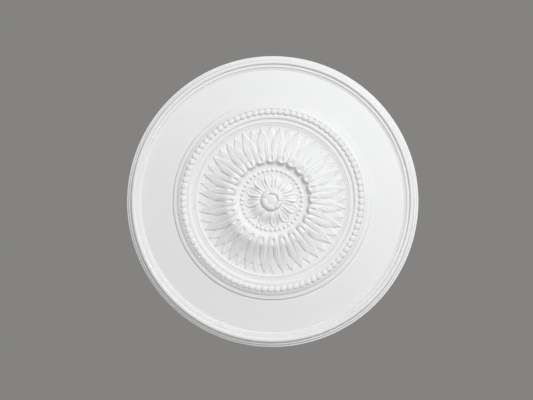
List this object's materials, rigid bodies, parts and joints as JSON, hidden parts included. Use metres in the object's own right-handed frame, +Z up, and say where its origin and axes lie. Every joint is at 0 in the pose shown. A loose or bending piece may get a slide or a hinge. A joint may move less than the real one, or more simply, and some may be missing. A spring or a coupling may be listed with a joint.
{
  "type": "ceiling rose",
  "caption": "Round ceiling rose cast in one piece: moulded rim, plain field, bead ring, domed wreath of pointed leaves and a petalled flower in a shallow crater. Flat back.",
  "frame": {"origin": "centre of the flat back, where the rose meets the ceiling", "axes": "+Z points up into the ceiling, out of the back; the ornament faces down along -Z; +X and +Y lie in the plane of the back"},
  "size_m": [0.7, 0.7, 0.05],
  "materials": {
    "casting": "rigid polyurethane foam casting with a dense smooth skin and a factory coat of matt white primer"
  },
  "bodies": {
    "root": {"ceiling_rose": "casting"}
  },
  "joints": []
}
